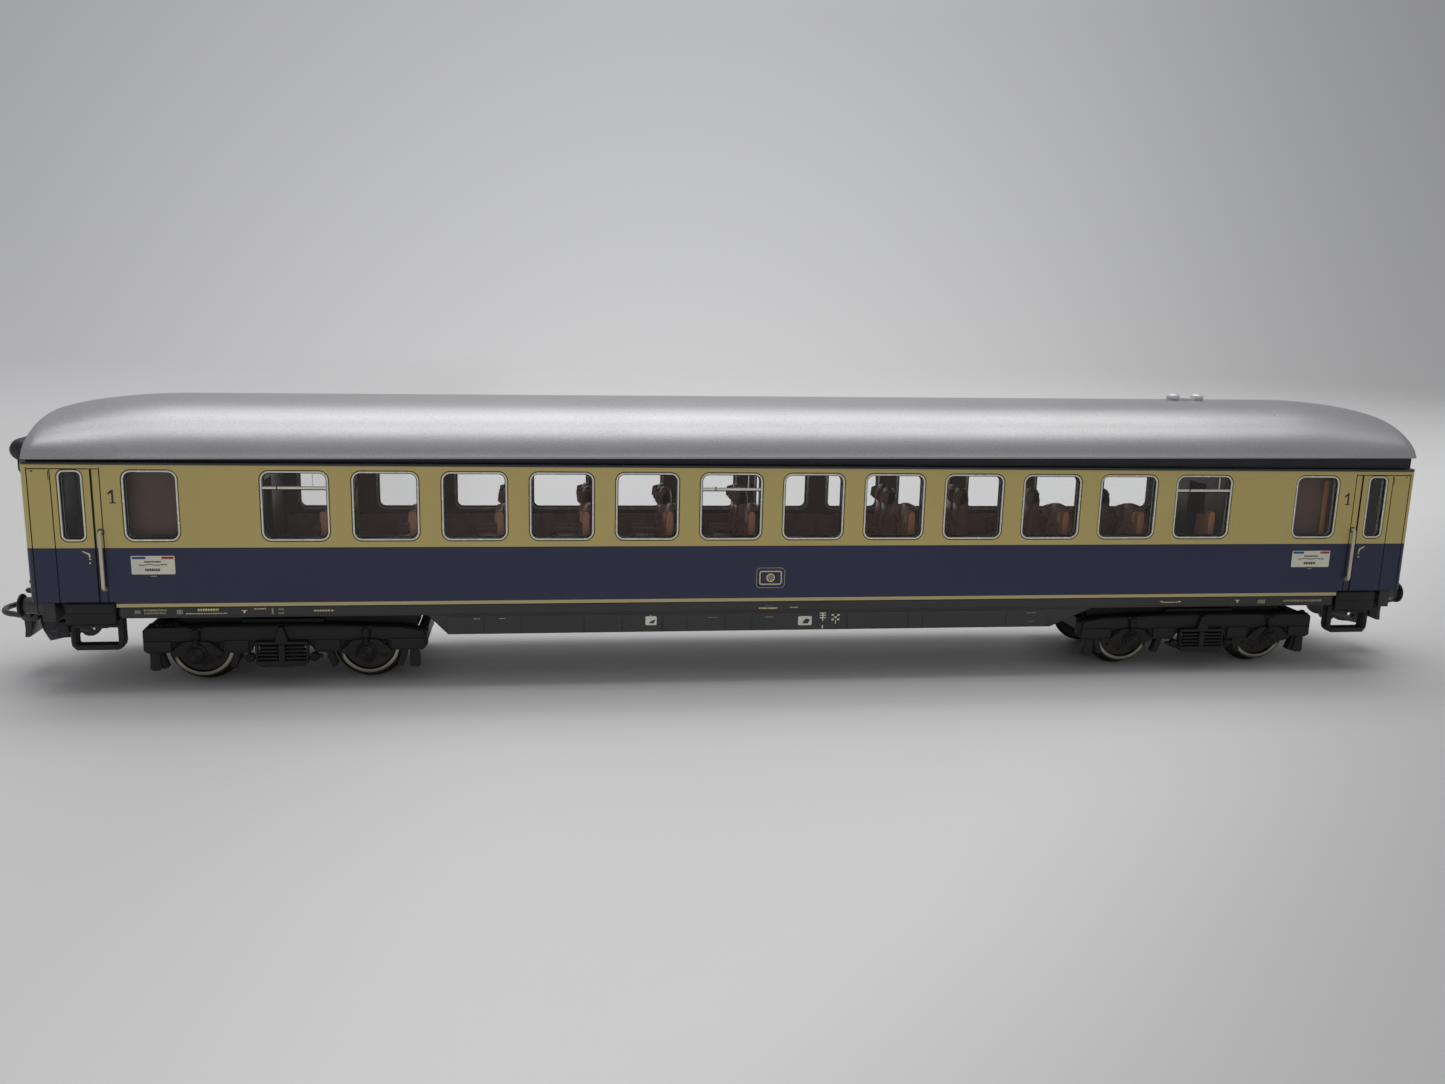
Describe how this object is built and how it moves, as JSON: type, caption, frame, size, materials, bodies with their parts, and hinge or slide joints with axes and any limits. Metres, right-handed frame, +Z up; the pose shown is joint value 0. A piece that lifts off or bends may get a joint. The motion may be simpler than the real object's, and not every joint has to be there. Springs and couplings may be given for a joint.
{
  "type": "model railway passenger coach",
  "caption": "Long H0 model passenger coach with a domed lift-off roof, rows of framed windows, side doors and steps, swivelling bogies with wheelsets, sprung-style buffers and loop couplers.",
  "frame": {"origin": "under the middle of the coach, on the plane the wheel flanges stand on", "axes": "+X along the coach, to the right in the near side's view; -Y is the near side; +Z up"},
  "size_m": [0.2588, 0.0332, 0.0497],
  "materials": {
    "body_paint": "semi-gloss moulded plastic, beige above and deep blue below, with a pale stripe",
    "underframe_plastic": "satin dark grey",
    "glazing": "clear moulded strip with bright printed window frames",
    "interior_plastic": "satin dark brown",
    "ballast_steel": "raw steel plate",
    "gangway_rubber": "matt black",
    "end_door_paint": "satin dark blue",
    "buffer_metal": "satin black",
    "handrail_metal": "pale satin",
    "step_plastic": "satin black",
    "screw_steel": "bright",
    "rivet_brass": "dull",
    "roof_paint": "satin silver paint",
    "roof_frame_plastic": "black",
    "vent_plastic": "satin silver paint",
    "bogie_plastic": "satin black",
    "axle_steel": "bright",
    "wheel_steel": "darkened tyre",
    "coupler_metal": "blackened"
  },
  "bodies": {
    "coach": {"body_shell": "body_paint", "underframe": "underframe_plastic", "glazing_near": "glazing", "glazing_far": "glazing", "interior_floor": "interior_plastic", "seats_near": "interior_plastic", "seats_far": "interior_plastic", "toilet_block_left": "interior_plastic", "toilet_block_right": "interior_plastic", "ballast_weight": "ballast_steel", "gangway_left": "gangway_rubber", "gangway_right": "gangway_rubber", "end_door_left": "end_door_paint", "end_door_right": "end_door_paint", "buffer_left_near": "buffer_metal", "buffer_left_far": "buffer_metal", "buffer_right_near": "buffer_metal", "buffer_right_far": "buffer_metal", "handrail_left_near": "handrail_metal", "handrail_left_far": "handrail_metal", "handrail_right_near": "handrail_metal", "handrail_right_far": "handrail_metal", "entry_step_left_near": "step_plastic", "entry_step_left_far": "step_plastic", "entry_step_right_near": "step_plastic", "entry_step_right_far": "step_plastic", "pivot_screw_left": "screw_steel", "pivot_screw_right": "screw_steel", "coupler_rivet_left": "rivet_brass", "coupler_rivet_right": "rivet_brass"},
    "roof": {"roof_shell": "roof_paint", "roof_inner_frame": "roof_frame_plastic", "roof_vents": "vent_plastic"},
    "bogie_left": {"bogie_frame_left": "bogie_plastic"},
    "bogie_right": {"bogie_frame_right": "bogie_plastic"},
    "wheelset_1": {"axle_1": "axle_steel", "wheel_1_near": "wheel_steel", "wheel_1_far": "wheel_steel"},
    "wheelset_2": {"axle_2": "axle_steel", "wheel_2_near": "wheel_steel", "wheel_2_far": "wheel_steel"},
    "wheelset_3": {"axle_3": "axle_steel", "wheel_3_near": "wheel_steel", "wheel_3_far": "wheel_steel"},
    "wheelset_4": {"axle_4": "axle_steel", "wheel_4_near": "wheel_steel", "wheel_4_far": "wheel_steel"},
    "coupler_left": {"coupler_arm_left": "coupler_metal"},
    "coupler_right": {"coupler_arm_right": "coupler_metal"},
    "bow_left": {"coupler_bow_left": "coupler_metal"},
    "bow_right": {"coupler_bow_right": "coupler_metal"}
  },
  "joints": [
    {"name": "roof_lift", "type": "slide", "parent": "coach", "child": "roof", "axis": [0, 0, 1], "range_m": [0, 0.03]},
    {"name": "bogie_pivot_left", "type": "hinge", "parent": "coach", "child": "bogie_left", "pos_m": [-0.081, 0, 0.0105], "axis": [0, 0, 1], "range_deg": [-15, 15]},
    {"name": "bogie_pivot_right", "type": "hinge", "parent": "coach", "child": "bogie_right", "pos_m": [0.081, 0, 0.0105], "axis": [0, 0, 1], "range_deg": [-15, 15]},
    {"name": "axle_spin_1", "type": "hinge", "parent": "bogie_left", "child": "wheelset_1", "pos_m": [-0.09446, 0, 0.00625], "axis": [0, 1, 0], "continuous": true},
    {"name": "axle_spin_2", "type": "hinge", "parent": "bogie_left", "child": "wheelset_2", "pos_m": [-0.06753, 0, 0.00625], "axis": [0, 1, 0], "continuous": true},
    {"name": "axle_spin_3", "type": "hinge", "parent": "bogie_right", "child": "wheelset_3", "pos_m": [0.06753, 0, 0.00625], "axis": [0, 1, 0], "continuous": true},
    {"name": "axle_spin_4", "type": "hinge", "parent": "bogie_right", "child": "wheelset_4", "pos_m": [0.09446, 0, 0.00625], "axis": [0, 1, 0], "continuous": true},
    {"name": "coupler_swing_left", "type": "hinge", "parent": "coach", "child": "coupler_left", "pos_m": [-0.109, 0, 0.0113], "axis": [0, 0, 1], "range_deg": [-12, 12]},
    {"name": "coupler_swing_right", "type": "hinge", "parent": "coach", "child": "coupler_right", "pos_m": [0.109, 0, 0.0113], "axis": [0, 0, 1], "range_deg": [-12, 12]},
    {"name": "bow_lift_left", "type": "hinge", "parent": "coupler_left", "child": "bow_left", "pos_m": [-0.12335, 0, 0.0103], "axis": [0, 1, 0], "range_deg": [0, 25]},
    {"name": "bow_lift_right", "type": "hinge", "parent": "coupler_right", "child": "bow_right", "pos_m": [0.12335, 0, 0.0103], "axis": [0, -1, 0], "range_deg": [0, 25]}
  ]
}
